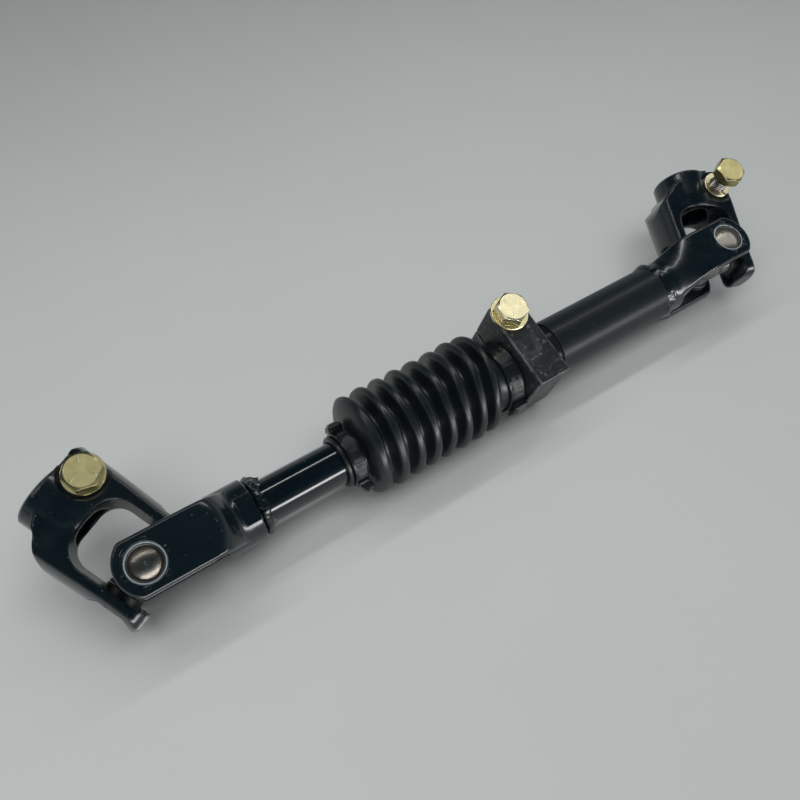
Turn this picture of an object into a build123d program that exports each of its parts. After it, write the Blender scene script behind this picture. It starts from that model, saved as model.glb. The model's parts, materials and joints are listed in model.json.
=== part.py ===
from build123d import *
import os
from math import sin, cos, radians

# A telescopic steering shaft with a universal joint at each end. A thin shaft slides on
# splines in a tube, under a bellows, and a clamp yoke with a pinch bolt folds off each joint.
# Millimetres. The shaft axis runs along +X with +Z up; the origin is the middle of the
# lower clamp yoke's bore. "Lower" is the end toward -X, "upper" the end toward +X.

os.makedirs("parts", exist_ok=True)

# ---------------------------------------------------------------- dimensions
# pose, in degrees
joint_distance = 298.5      # centre of lower cross to centre of upper cross
pin_tilt_low = 29.6         # roll of the lower shaft yoke's pin axis, from +Z toward -Y
pin_tilt_up = 17.3          # the same for the upper shaft yoke
collar_tilt = 19.0          # the same for the clamp collar's bolt
fold_low = 65.2             # lower clamp yoke, turned from straight about the pin axis
fold_up = 69.3              # upper clamp yoke, turned from straight about the pin axis
lean_low = -3.5             # lower clamp yoke, turned on the cross's second axis
lean_up = 6.0               # upper clamp yoke, turned on the cross's second axis

# crosses and bearings; distances run out along the pins
cup_r = 7.5
cup_bore_r = 6.5
trunnion_r = 4.45
cross_ball_r = 8.6
shoulder_r, shoulder_end = 6.3, 11.6
trunnion_end = 19.15
grease_r = 1.5
clamp_shift = 2.0           # the clamp yoke's pair of bearings sits this much closer in
needle_r = 0.975
needle_pitch_r = (trunnion_r + cup_bore_r) / 2
needles_per_cup = 16
needle_start, needle_length = 13.6, 5.5
stake_count = 6             # stake marks round each cup hole
stake_pitch_r = cup_r + 0.95
stake_radial, stake_across = 0.8, 1.9

# bolts
bolt_r = 4.0
bolt_hole_r = bolt_r + 0.15
head_across_flats = 13.0
head_height = 5.3

# clamp yokes; x runs from the cross centre along the clamp bore
yoke_tip = -12.2
yoke_r = 20.5               # turned outer radius at the pins
yoke_hub_r = 21.3           # the same, over the hub end
slab_half = 23.0            # half height of the slab before turning
lug_end = 45.8
arm_half = 11.0             # half width of an arm
arm_in = 12.4               # inner face of an arm, at mid thickness
window_start, window_end = -26.0, 24.4
window_corner, window_draft = 8.0, 9.0
hub_start, hub_end = 21.5, 46.3
hub_r = 12.9
bore_r = 8.25
bore_start, bore_depth = 20.0, 30.0
bore_mid = 34.5
mouth_chamfer = 0.9
serrations = 36
pinch_x, pinch_y = 37.0, -12.6
seat_z, seat_r = 9.6, 9.2   # spot face under the pinch bolt
pinch_slot_half = 1.25

# shaft yokes; x runs from the cross centre along the shaft
ear_out = 21.3              # outer face of an ear, from the shaft axis
ear_in = 15.8               # inner face of an ear
ear_half = 10.8             # half width of an ear
bowl_start, bowl_r = -14.0, 27.5
gap_start = -20.0
collar_end_low, collar_end_up = 43.6, 37.0

# inner shaft and outer tube; x runs from the lower cross centre
shaft_r = 9.0
shaft_start = 28.6
male_spline_start = 127.0
shaft_tail = 224.0
male_root_r, female_root_r = 8.1, 8.2
spline_teeth = 20
spline_end = 205.0          # end of the internal splines
tube_r = 12.7
tube_bore_r = 9.7           # relieved bore behind the splines
tube_start = 158.0
tube_end = joint_distance - collar_end_up
tube_chamfer = 0.8
neck_r, neck_end = 12.2, 192.5
groove_r = 11.4
slot_end, slot_half = 188.0, 0.9

# clamp collar
collar_x0, collar_x1 = 168.5, 184.5
collar_mid = (collar_x0 + collar_x1) / 2
collar_bolt_x, collar_bolt_y = 175.6, 16.8
collar_top = 19.0
collar_slot_half = 1.2

# bellows and cable ties
boot_first, boot_pitch, boot_folds = 94.4, 8.24, 8
boot_r, boot_valley_r, boot_wall = 21.3, 16.0, 1.0
small_cuff_r, large_cuff_r = 10.7, 14.4
tie_band, tie_head_length, tie_head_height = 1.1, 8.0, 4.4


# ---------------------------------------------------------------- frames
X = Vector(1, 0, 0)


def pin_direction(tilt):
    return Vector(0, -sin(radians(tilt)), cos(radians(tilt)))


def idle_direction(tilt, fold, sense):
    """Direction of a cross's idle axis: square to the pin axis, turned by the fold."""
    tilt, fold = radians(tilt), radians(fold)
    return Vector(sense * cos(fold), sin(fold) * cos(tilt), sin(fold) * sin(tilt))


def lean_directions(pin, idle, lean):
    """The clamp yoke's bore and bolt directions."""
    lean = radians(lean)
    return idle * cos(lean) + pin * sin(lean), pin * cos(lean) - idle * sin(lean)


pin_low, pin_up = pin_direction(pin_tilt_low), pin_direction(pin_tilt_up)
idle_low = idle_direction(pin_tilt_low, fold_low, -1)
idle_up = idle_direction(pin_tilt_up, fold_up, 1)
bore_low, bolt_low = lean_directions(pin_low, idle_low, lean_low)
bore_up, bolt_up = lean_directions(pin_up, idle_up, lean_up)

centre_low = bore_low * (-bore_mid)
centre_up = centre_low + X * joint_distance

shaft_frame_low = Plane(origin=centre_low, x_dir=X, z_dir=pin_low)
shaft_frame_up = Plane(origin=centre_up, x_dir=X * -1, z_dir=pin_up)
cross_frame_low = Plane(origin=centre_low, x_dir=idle_low, z_dir=pin_low)
cross_frame_up = Plane(origin=centre_up, x_dir=idle_up, z_dir=pin_up)
clamp_frame_low = Plane(origin=centre_low, x_dir=bore_low, z_dir=bolt_low)
clamp_frame_up = Plane(origin=centre_up, x_dir=bore_up, z_dir=bolt_up)
axis_frame = Plane(origin=centre_low, x_dir=X, z_dir=pin_direction(collar_tilt))


def point_in(frame, x=0.0, y=0.0, z=0.0):
    return frame.origin + frame.x_dir * x + frame.y_dir * y + frame.z_dir * z


def top(frame, z=0.0):
    """Sketch plane: x along the frame's x, y along its y."""
    return Plane(origin=point_in(frame, z=z), x_dir=frame.x_dir, z_dir=frame.z_dir)


def side(frame, y=0.0):
    """Sketch plane: x along the frame's x, y along its z."""
    return Plane(origin=point_in(frame, y=y), x_dir=frame.x_dir, z_dir=frame.y_dir * -1)


def end(frame, x=0.0):
    """Sketch plane: x along the frame's y, y along its z, facing along x."""
    return Plane(origin=point_in(frame, x=x), x_dir=frame.y_dir, z_dir=frame.x_dir)


def x_axis(frame):
    return Axis(frame.origin, frame.x_dir)


def z_axis(frame):
    return Axis(frame.origin, frame.z_dir)


# ---------------------------------------------------------------- edges and output
def near(value, size):
    """True where a coordinate lies at plus or minus the size."""
    return abs(abs(value) - size) < 0.05


def pick_edges(part, frame, test):
    """Edges that pass test(edge, its centre in the frame)."""
    return [edge for edge in part.edges() if test(edge, frame.to_local_coords(edge.center()))]


def soft_fillet(part, frame, test, radii):
    """Fillet the picked edges with the first radius that closes."""
    edges = pick_edges(part, frame, test)
    for radius in radii:
        # a fillet too large for its faces raises an error; the next radius is smaller
        try:
            fillet(edges, radius=radius)
            return
        except Exception:
            continue


def save(builder, name):
    builder.part.label = name
    export_step(builder.part, "parts/" + name + ".step")


# ---------------------------------------------------------------- clamp yoke
def build_clamp_yoke(frame):
    window_mid = (window_start + window_end) / 2
    with BuildPart() as yoke:
        # arms and pinch lug: plan outline cut from a flat slab
        with BuildSketch(top(frame)):
            with BuildLine():
                Polyline((yoke_tip, -slab_half), (44.6, -slab_half), (lug_end, -21.0),
                         (lug_end, 0.0), (38.6, 12.0))
                ThreePointArc((38.6, 12.0), (36.6, 13.4), (35.2, 15.2))
                ThreePointArc((35.2, 15.2), (31.0, 19.2), (24.5, 21.4))
                Polyline((24.5, 21.4), (18.0, slab_half), (yoke_tip, slab_half),
                         (yoke_tip, -slab_half))
            make_face()
        extrude(amount=arm_half, both=True)
        # the outside is turned about the yoke's axis
        with BuildSketch(side(frame)):
            with BuildLine():
                Polyline((yoke_tip, 0), (yoke_tip, 19.4), (-10.8, yoke_r + 0.2))
                Spline((-10.8, yoke_r + 0.2), (0.0, yoke_r), (14.0, yoke_r + 0.25),
                       (27.0, yoke_hub_r - 0.15), (44.9, yoke_hub_r - 0.1),
                       tangents=((1, -0.03), (1, 0)))
                Polyline((44.9, yoke_hub_r - 0.1), (lug_end, yoke_hub_r - 0.9),
                         (lug_end, 0), (yoke_tip, 0))
            make_face()
        revolve(axis=x_axis(frame), mode=Mode.INTERSECT)
        # ear tips, seen along the pin axis: rounded corners
        with BuildSketch(side(frame)):
            with Locations((yoke_tip + 30.0, 0)):
                RectangleRounded(60.0, 2 * arm_half, 6.0)
            with Locations((35.0, 0)):
                Rectangle(30.0, 2 * arm_half)
        extrude(amount=30, both=True, mode=Mode.INTERSECT)
        # round hub
        with BuildSketch(side(frame)):
            with BuildLine():
                Line((hub_start, 0), (hub_start, arm_half - 0.4))
                Spline((hub_start, arm_half - 0.4), (27.0, arm_half + 0.7), (33.0, hub_r),
                       tangents=((1, 0.16), (1, 0)))
                Polyline((33.0, hub_r), (hub_end - 0.9, hub_r), (hub_end, hub_r - 0.9),
                         (hub_end, 0), (hub_start, 0))
            make_face()
        revolve(axis=x_axis(frame))
        # the hub runs into the slab's faces in a wide hollow
        soft_fillet(yoke, frame,
                    lambda edge, at: near(at.Z, arm_half) and 3.0 < abs(at.Y) < 9.0 and at.X > 24,
                    (7.0, 4.0, 2.0))
        # window between the arms, drafted both ways from the parting plane
        for draw_dir in (frame.z_dir, frame.z_dir * -1):
            with BuildSketch(Plane(origin=frame.origin, x_dir=frame.x_dir, z_dir=draw_dir)):
                with Locations((window_mid, 0)):
                    RectangleRounded(window_end - window_start, 2 * arm_in, window_corner)
            extrude(amount=20, taper=-window_draft, mode=Mode.SUBTRACT)
        # machined inner faces round the pins
        with BuildSketch(end(frame, -20.0)):
            Rectangle(2 * (13.4 - clamp_shift), 40.0)
        extrude(amount=20.0 + 9.0, mode=Mode.SUBTRACT)
        # clamp bore and its chamfered outer mouth
        with BuildSketch(end(frame, bore_start)):
            Circle(bore_r)
        extrude(amount=bore_depth, mode=Mode.SUBTRACT)
        with BuildSketch(side(frame)):
            with BuildLine():
                Polyline((hub_end + 0.01, 0), (hub_end + 0.01, bore_r + mouth_chamfer),
                         (hub_end - mouth_chamfer, bore_r), (hub_end - mouth_chamfer, 0),
                         (hub_end + 0.01, 0))
            make_face()
        revolve(axis=x_axis(frame), mode=Mode.SUBTRACT)
        # bearing cup holes and their machined flats
        with BuildSketch(side(frame)):
            Circle(cup_r)
        extrude(amount=30, both=True, mode=Mode.SUBTRACT)
        for sign in (-1, 1):
            with BuildSketch(side(frame, sign * (21.1 - clamp_shift))):
                Circle(9.6)
            extrude(amount=-sign * 3, mode=Mode.SUBTRACT)
        # spot face, bolt hole and pinch slot
        with BuildSketch(top(frame, seat_z)):
            with Locations((pinch_x, pinch_y)):
                Circle(seat_r)
        extrude(amount=10, mode=Mode.SUBTRACT)
        with BuildSketch(top(frame, -15)):
            with Locations((pinch_x, pinch_y)):
                Circle(bolt_hole_r)
        extrude(amount=30, mode=Mode.SUBTRACT)
        with BuildSketch(top(frame)):
            with Locations((36.0, -14.0)):
                Rectangle(24.0, 20.0)
        extrude(amount=pinch_slot_half, both=True, mode=Mode.SUBTRACT)
        # forged edges: the long outer edges of the arms, then the window rims
        soft_fillet(yoke, frame,
                    lambda edge, at: near(at.Z, arm_half) and at.X < 30 and abs(at.Y) > 17,
                    (3.2, 2.6, 2.0, 1.6, 1.2, 0.8, 0.5))
        soft_fillet(yoke, frame,
                    lambda edge, at: (near(at.Z, arm_half) and at.X < 18
                                      and 13.0 < abs(at.Y) < 15.0),
                    (1.7, 1.3, 1.0, 0.7, 0.4))
        # bore serrations
        with BuildSketch(end(frame, bore_start)):
            with PolarLocations(bore_r, serrations):
                Polygon((-0.25, 0.36), (0.55, 0.0), (-0.25, -0.36), align=None)
        extrude(amount=bore_depth, mode=Mode.SUBTRACT)
        # stake marks round the cup holes
        for sign in (-1, 1):
            with BuildSketch(side(frame, sign * (20.7 - clamp_shift))):
                with PolarLocations(stake_pitch_r, stake_count, start_angle=20):
                    Rectangle(stake_radial, stake_across)
            extrude(amount=-sign * 3, mode=Mode.SUBTRACT)
    return yoke


# ---------------------------------------------------------------- shaft yoke
# outer curve of each bowl: (x, radius)
bowl_curve_low = ((17.0, bowl_r), (23.0, 25.0), (28.5, 20.6), (33.0, 15.6), (37.2, 12.8))
bowl_curve_up = ((17.0, bowl_r), (21.5, 24.6), (27.0, 19.4), (31.2, 15.0), (34.8, 12.7))


def build_shaft_yoke(frame, lower):
    if lower:
        bowl_curve, gap_end = bowl_curve_low, 27.6
        collar_start, collar_end = 27.5, collar_end_low
    else:
        bowl_curve, gap_end = bowl_curve_up, 26.6
        collar_start, collar_end = 29.0, collar_end_up
    bowl_end, collar_r = bowl_curve[-1]

    def on_outer_rim(edge, at):
        """Rims of the ears' outer faces, and the bowl's curved edges down to the collar."""
        ear_rim = near(at.Z, ear_out) and at.X < 22
        bowl_rim = (near(at.Y, ear_half) and at.X > 18 and edge.geom_type != GeomType.LINE
                    and abs(at.Z) > 8.0 and frame.to_local_coords(edge @ 0).X < 36.9)
        return ear_rim or bowl_rim

    with BuildPart() as yoke:
        # bowl of revolution that the stamped U is drawn from
        with BuildSketch(side(frame)):
            with BuildLine():
                Polyline((bowl_start, 0), (bowl_start, bowl_r), bowl_curve[0])
                Spline(*bowl_curve, tangents=((1, -0.15), (1, -0.08)))
                Polyline(bowl_curve[-1], (bowl_end, 0), (bowl_start, 0))
            make_face()
        revolve(axis=x_axis(frame))
        # flat outer faces of the ears and the strip's width
        with BuildSketch(end(frame, bowl_start)):
            Rectangle(2 * ear_half, 2 * ear_out)
        extrude(amount=60, mode=Mode.INTERSECT)
        # wide draw radius between each flat and the bowl
        soft_fillet(yoke, frame,
                    lambda edge, at: (near(at.Z, ear_out) and at.X > 18
                                      and edge.geom_type != GeomType.LINE),
                    (11.0, 8.0, 5.0, 3.0))
        # rounded ear tips
        with BuildSketch(top(frame)) as plan:
            with Locations((1.8, 0)):
                Circle(13.0)
            with Locations((21.8, 0)):
                Rectangle(40.0, 2 * ear_half)
            with Locations((15.0, 0)):
                Rectangle(60.0, 2 * ear_half, mode=Mode.INTERSECT)
            fillet([corner for corner in plan.vertices() if corner.X < 0], radius=3.0)
        extrude(amount=30, both=True, mode=Mode.INTERSECT)
        # space between the ears
        with BuildSketch(side(frame)):
            with Locations(((gap_start + gap_end) / 2, 0)):
                RectangleRounded(gap_end - gap_start, 2 * ear_in, 5.0)
        extrude(amount=20, both=True, mode=Mode.SUBTRACT)
        soft_fillet(yoke, frame, on_outer_rim, (1.4, 1.1, 0.8, 0.5))
        soft_fillet(yoke, frame,
                    lambda edge, at: near(at.Z, ear_in) and at.X < 24,
                    (0.8, 0.5, 0.3))
        # round collar
        with BuildSketch(side(frame)):
            with BuildLine():
                Polyline((collar_start, 0), (collar_start, collar_r - 1.2),
                         (collar_start + 1.2, collar_r), (collar_end - 0.7, collar_r),
                         (collar_end, collar_r - 0.7), (collar_end, 0), (collar_start, 0))
            make_face()
        revolve(axis=x_axis(frame))
        if lower:
            # milled pads on two sides of the collar, and the shaft's bore
            for sign in (-1, 1):
                with BuildSketch(top(frame, sign * 11.5)):
                    with Locations((41.9, 0)):
                        RectangleRounded(10.0, 15.0, 2.6)
                extrude(amount=sign * 5, mode=Mode.SUBTRACT)
            with BuildSketch(end(frame, 20.0)):
                Circle(shaft_r)
            extrude(amount=30, mode=Mode.SUBTRACT)
        else:
            # spigot that plugs into the tube, bored through
            with BuildSketch(end(frame, 30.0)):
                Circle(tube_bore_r)
            extrude(amount=17.0)
            with BuildSketch(end(frame, 20.0)):
                Circle(6.0)
            extrude(amount=40, mode=Mode.SUBTRACT)
        # bearing cup holes
        with BuildSketch(top(frame)):
            Circle(cup_r)
        extrude(amount=30, both=True, mode=Mode.SUBTRACT)
        # stake marks round the cup holes
        for sign in (-1, 1):
            with BuildSketch(top(frame, sign * (ear_out - 0.55))):
                with PolarLocations(stake_pitch_r, stake_count, start_angle=8):
                    Rectangle(stake_radial, stake_across)
            extrude(amount=sign * 3, mode=Mode.SUBTRACT)
    return yoke


# ---------------------------------------------------------------- cross and bearings
# cross frame: x = idle axis, y = clamp yoke's pins, z = shaft yoke's pins
def build_cross(frame):
    with BuildPart() as cross:
        with BuildSketch(side(frame)):
            with BuildLine():
                ThreePointArc((-cross_ball_r, 0), (0, cross_ball_r), (cross_ball_r, 0))
                Line((cross_ball_r, 0), (-cross_ball_r, 0))
            make_face()
        revolve(axis=x_axis(frame))
        for plane, shift in ((top(frame), 0.0), (side(frame), clamp_shift)):
            with BuildSketch(plane):
                Circle(shoulder_r)
            extrude(amount=shoulder_end - shift, both=True)
            with BuildSketch(plane):
                Circle(trunnion_r)
            extrude(amount=trunnion_end - shift, both=True)
        tips = [edge for edge in cross.edges().filter_by(GeomType.CIRCLE)
                if (edge.arc_center - frame.origin).length > 16.0]
        chamfer(tips, length=0.5)
        # grease drillings along both trunnion axes
        for plane in (top(frame), side(frame)):
            with BuildSketch(plane):
                Circle(grease_r)
            extrude(amount=25, both=True, mode=Mode.SUBTRACT)
    return cross


def pin_frames(frame, shaft_pins):
    """Two frames whose x axis points out along one pair of a cross's pins."""
    if shaft_pins:
        out, across, shift = frame.z_dir, frame.y_dir, 0.0
    else:
        out, across, shift = frame.y_dir, frame.z_dir, clamp_shift
    return [Plane(origin=frame.origin - out * (sign * shift), x_dir=out * sign, z_dir=across)
            for sign in (1, -1)]


def all_pin_frames(frame):
    return pin_frames(frame, True) + pin_frames(frame, False)


def build_cups(frame, shaft_pins):
    open_end, floor = 13.2, 19.3
    with BuildPart() as cups:
        for pin in pin_frames(frame, shaft_pins):
            with BuildSketch(side(pin)):
                with BuildLine():
                    Polyline((open_end, cup_bore_r), (open_end, cup_r - 0.3),
                             (open_end + 0.3, cup_r), (20.7, cup_r), (21.0, cup_r - 0.3),
                             (21.0, 6.75), (20.2, 6.45), (20.0, 6.1))
                    ThreePointArc((20.0, 6.1), (20.87, 3.2), (21.16, 0.7))
                    # centre mark of the pressed dome, then the inside
                    Polyline((21.16, 0.7), (21.02, 0.35), (21.02, 0.0), (floor, 0.0),
                             (floor, cup_bore_r), (open_end, cup_bore_r))
                make_face()
            revolve(axis=x_axis(pin))
    return cups


def build_needles(frame):
    with BuildPart() as needles:
        for pin in all_pin_frames(frame):
            with BuildSketch(end(pin, needle_start)):
                with PolarLocations(needle_pitch_r, needles_per_cup):
                    Circle(needle_r)
            extrude(amount=needle_length)
    return needles


def build_seals(frame):
    with BuildPart() as seals:
        for pin in all_pin_frames(frame):
            with BuildSketch(side(pin)):
                with BuildLine():
                    Polyline((shoulder_end, trunnion_r), (shoulder_end, 6.9), (12.0, 7.3),
                             (12.8, 7.3), (13.1, 6.9), (13.1, 5.2), (12.4, trunnion_r),
                             (shoulder_end, trunnion_r))
                make_face()
            revolve(axis=x_axis(pin))
    return seals


# ---------------------------------------------------------------- fasteners
def bolt_seat(frame, x, y, z, turn):
    """Frame on a bolt's seat: z up the bolt, x turned about it in degrees."""
    turned = frame.x_dir.rotate(Axis((0, 0, 0), frame.z_dir), turn)
    return Plane(origin=point_in(frame, x, y, z), x_dir=turned, z_dir=frame.z_dir)


def shank_outline(length, thread_from):
    """Half section of a shank with annular thread grooves: (radius, z)."""
    pitch = 1.25
    land = 0.16             # half width of the crest between two grooves
    crest_r, root_r = bolt_r - 0.05, bolt_r - 0.62
    points = [(0, 0.5), (crest_r, 0.5), (crest_r, -thread_from)]
    z = -thread_from
    while z - pitch > -length + 1.2:
        points += [(crest_r, z - land), (root_r, z - pitch / 2), (crest_r, z - pitch + land)]
        z -= pitch
    points += [(crest_r, z), (crest_r, -length + 0.9), (bolt_r - 0.9, -length),
               (0, -length), (0, 0.5)]
    return points


def build_bolt(frame, length, thread_from):
    """Hex bolt, head up along the frame's z; z = 0 is the head's underside."""
    with BuildPart() as bolt:
        with BuildSketch(top(frame)):
            RegularPolygon(head_across_flats / 2, 6, major_radius=False)
        extrude(amount=head_height)
        # chamfered crown of the head and washer face
        with BuildSketch(side(frame)):
            with BuildLine():
                Polyline((0, 0), (6.2, 0), (7.6, 0.7), (7.6, head_height - 0.95),
                         (5.95, head_height), (0, head_height), (0, 0))
            make_face()
        revolve(axis=z_axis(frame), mode=Mode.INTERSECT)
        with BuildSketch(side(frame)):
            with BuildLine():
                Polyline(*shank_outline(length, thread_from))
            make_face()
        revolve(axis=z_axis(frame))
        # three plain radial ticks on the crown
        with BuildSketch(top(frame, head_height - 0.05)):
            with PolarLocations(4.3, 3, start_angle=90):
                RectangleRounded(1.9, 0.6, 0.25)
        extrude(amount=0.2)
    return bolt


def build_washer(frame, r_out, r_in, thickness, split=False):
    """Washer whose lower face is the frame's z = 0."""
    with BuildPart() as washer:
        with BuildSketch(top(frame)):
            Circle(r_out)
            Circle(r_in, mode=Mode.SUBTRACT)
        extrude(amount=thickness)
        rims = [edge for edge in washer.edges().filter_by(GeomType.CIRCLE)
                if edge.radius > r_out - 0.1]
        chamfer(rims, length=0.25)
        if split:
            with BuildSketch(top(frame)):
                with Locations(Location((-(r_in + r_out) / 2, 0.0, 0), 25)):
                    Rectangle(2 * (r_out - r_in) + 2, 0.8)
            extrude(amount=thickness, mode=Mode.SUBTRACT)
    return washer


# ---------------------------------------------------------------- shaft and tube
def spline_tooth(tip_r, root_angle, tip_angle):
    """Corners of one tooth; the angles are its half widths at root and tip, in degrees."""
    root_r = 7.6
    root_half = root_r * sin(radians(root_angle))
    tip_half = tip_r * sin(radians(tip_angle))
    return (root_r, root_half), (tip_r, tip_half), (tip_r, -tip_half), (root_r, -root_half)


def build_inner_shaft():
    """Thin shaft: round, then splined to its tail."""
    with BuildPart() as shaft:
        with BuildSketch(side(axis_frame)):
            with BuildLine():
                Polyline((shaft_start, 0), (shaft_start, shaft_r - 0.8),
                         (shaft_start + 0.8, shaft_r), (male_spline_start - 1.4, shaft_r),
                         (male_spline_start, male_root_r), (male_spline_start, 0),
                         (shaft_start, 0))
            make_face()
        revolve(axis=x_axis(axis_frame))
        with BuildSketch(end(axis_frame, male_spline_start - 0.5)):
            Circle(male_root_r)
            with PolarLocations(0.0, spline_teeth):
                Polygon(*spline_tooth(8.9, 5.4, 3.2), align=None)
        extrude(amount=shaft_tail - male_spline_start + 0.5)
    return shaft


def build_outer_tube():
    """Outer tube: slotted neck, internal splines, relieved bore."""
    with BuildPart() as tube:
        with BuildSketch(side(axis_frame)):
            with BuildLine():
                Polyline((tube_start, 7.0), (tube_start, neck_r - 0.6),
                         (tube_start + 0.6, neck_r), (collar_x1 + 1.0, neck_r),
                         (collar_x1 + 1.4, groove_r), (neck_end, groove_r),
                         (neck_end, tube_r - 0.3), (neck_end + 0.3, tube_r),
                         (tube_end - tube_chamfer, tube_r), (tube_end, tube_r - tube_chamfer),
                         (tube_end, tube_bore_r), (spline_end, tube_bore_r),
                         (spline_end, 7.0), (tube_start, 7.0))
            make_face()
        revolve(axis=x_axis(axis_frame))
        with BuildSketch(end(axis_frame, tube_start - 1)):
            Circle(female_root_r)
            with PolarLocations(0.0, spline_teeth):
                Polygon(*spline_tooth(9.0, 5.8, 3.6), align=None)
        extrude(amount=spline_end - tube_start + 1.5, mode=Mode.SUBTRACT)
        # saw slot that lets the neck close on the splines
        with BuildSketch(top(axis_frame)):
            with Locations(((tube_start + slot_end) / 2 - 2, neck_r)):
                Rectangle(slot_end - tube_start + 4, 12.0)
        extrude(amount=slot_half, both=True, mode=Mode.SUBTRACT)
    return tube


def build_lower_weld():
    """Weld bead between the lower yoke's collar and the thin shaft."""
    start, finish = collar_end_low, 48.8
    with BuildPart() as weld:
        with BuildSketch(side(axis_frame)):
            with BuildLine():
                Line((start, shaft_r), (start, 11.9))
                ThreePointArc((start, 11.9), (46.6, 11.3), (finish, shaft_r))
                Line((finish, shaft_r), (start, shaft_r))
            make_face()
        revolve(axis=x_axis(axis_frame))
    return weld


def build_upper_weld():
    """Weld bead between the tube and the upper yoke."""
    start = tube_end - 4.6
    with BuildPart() as weld:
        with BuildSketch(side(axis_frame)):
            with BuildLine():
                Polyline((start, tube_r), (tube_end - tube_chamfer, tube_r),
                         (tube_end, tube_r - tube_chamfer), (tube_end, tube_r),
                         (tube_end, tube_r + 0.9))
                ThreePointArc((tube_end, tube_r + 0.9), (tube_end - 2.4, tube_r + 1.3),
                              (start, tube_r))
            make_face()
        revolve(axis=x_axis(axis_frame))
    return weld


def build_clamp_collar():
    """Split clamp collar with two lugs, round the tube's neck."""
    with BuildPart() as collar:
        with BuildSketch(end(axis_frame, collar_x0)):
            with BuildLine():
                Polyline((-17.0, collar_top), (23.0, collar_top), (23.0, -15.5), (9.0, -17.5),
                         (-9.0, -17.5), (-17.0, -10.0), (-17.0, collar_top))
            make_face()
            Circle(neck_r, mode=Mode.SUBTRACT)
        extrude(amount=collar_x1 - collar_x0)
        # straight edges of both end faces
        half_length = (collar_x1 - collar_x0) / 2
        chamfer(pick_edges(collar, axis_frame,
                           lambda edge, at: (near(at.X - collar_mid, half_length)
                                             and edge.geom_type == GeomType.LINE)),
                length=0.5)
        # slot between the lugs, and the bolt hole
        with BuildSketch(top(axis_frame)):
            with Locations((collar_mid, 20.0)):
                Rectangle(20.0, 20.0)
        extrude(amount=collar_slot_half, both=True, mode=Mode.SUBTRACT)
        with BuildSketch(top(axis_frame, -30)):
            with Locations((collar_bolt_x, collar_bolt_y)):
                Circle(bolt_hole_r)
        extrude(amount=60, mode=Mode.SUBTRACT)
    return collar


# ---------------------------------------------------------------- bellows and ties
def build_bellows_boot():
    """Folded sleeve of equal arcs, with a cuff at each end."""
    quarter = boot_pitch / 4
    mid_r = (boot_r + boot_valley_r) / 2
    arc_r = (quarter ** 2 + (boot_r - mid_r) ** 2) / (2 * (boot_r - mid_r))
    crest_centre, root_centre = boot_r - arc_r, boot_valley_r + arc_r
    crest_in, root_in = arc_r - boot_wall, arc_r + boot_wall  # arc radii of the inner wall
    crests = [boot_first + boot_pitch * k for k in range(boot_folds)]
    last = crests[-1]
    with BuildPart() as boot:
        with BuildSketch(side(axis_frame)):
            with BuildLine():
                # outer wall
                for x in crests:
                    ThreePointArc((x - quarter, mid_r), (x, boot_r), (x + quarter, mid_r))
                    if x != last:
                        ThreePointArc((x + quarter, mid_r), (x + 2 * quarter, boot_valley_r),
                                      (x + 3 * quarter, mid_r))
                # large cuff, on the tube's neck
                Polyline((last + quarter, mid_r), (156.4, large_cuff_r), (168.2, large_cuff_r),
                         (168.2, neck_r), (155.4, neck_r), (last + 1.0, 17.6),
                         (last + crest_in, crest_centre))
                # inner wall, one wall thickness inside
                for x in crests:
                    ThreePointArc((x - crest_in, crest_centre), (x, crest_centre + crest_in),
                                  (x + crest_in, crest_centre))
                    if x != last:
                        valley = x + 2 * quarter
                        Line((x + crest_in, crest_centre), (valley - root_in, root_centre))
                        ThreePointArc((valley - root_in, root_centre),
                                      (valley, root_centre - root_in),
                                      (valley + root_in, root_centre))
                        Line((valley + root_in, root_centre),
                             (x + boot_pitch - crest_in, crest_centre))
                # small cuff, on the thin shaft
                Polyline((boot_first - crest_in, crest_centre), (93.1, 17.6), (91.7, 12.6),
                         (91.7, shaft_r), (81.6, shaft_r), (81.6, small_cuff_r),
                         (90.5, small_cuff_r), (90.6, 13.0), (boot_first - quarter, mid_r))
            make_face()
        revolve(axis=x_axis(axis_frame))
    return boot


def build_tie(x0, x1, cuff_r, head_angle):
    """Cable tie round a cuff, with its locking head turned about the shaft."""
    r_out = cuff_r + tie_band
    with BuildPart() as tie:
        with BuildSketch(side(axis_frame)):
            with BuildLine():
                Polyline((x0, cuff_r), (x0, r_out), (x1, r_out), (x1, cuff_r), (x0, cuff_r))
            make_face()
        revolve(axis=x_axis(axis_frame))
        out = axis_frame.y_dir.rotate(Axis((0, 0, 0), X), head_angle)
        foot = point_in(axis_frame, (x0 + x1) / 2) + out * (r_out - 0.6)
        with BuildSketch(Plane(origin=foot, x_dir=X, z_dir=out)):
            RectangleRounded(x1 - x0 + 1.2, tie_head_length, 0.8)
        extrude(amount=tie_head_height)
    return tie


# ---------------------------------------------------------------- the pieces
save(build_clamp_yoke(clamp_frame_low), "lower_clamp_yoke")
save(build_clamp_yoke(clamp_frame_up), "upper_clamp_yoke")
save(build_shaft_yoke(shaft_frame_low, lower=True), "lower_shaft_yoke")
save(build_shaft_yoke(shaft_frame_up, lower=False), "upper_shaft_yoke")

for tag, cross_frame in (("lower", cross_frame_low), ("upper", cross_frame_up)):
    save(build_cross(cross_frame), tag + "_cross")
    save(build_cups(cross_frame, shaft_pins=True), tag + "_shaft_cups")
    save(build_cups(cross_frame, shaft_pins=False), tag + "_clamp_cups")
    save(build_needles(cross_frame), tag + "_needle_rollers")
    save(build_seals(cross_frame), tag + "_trunnion_seals")

# each bolt's head rests on its washer, except the upper one, which stands proud
washer_low, washer_up, washer_collar = 1.5, 2.0, 1.6    # thicknesses
upper_bolt_proud = 7.6

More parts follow.
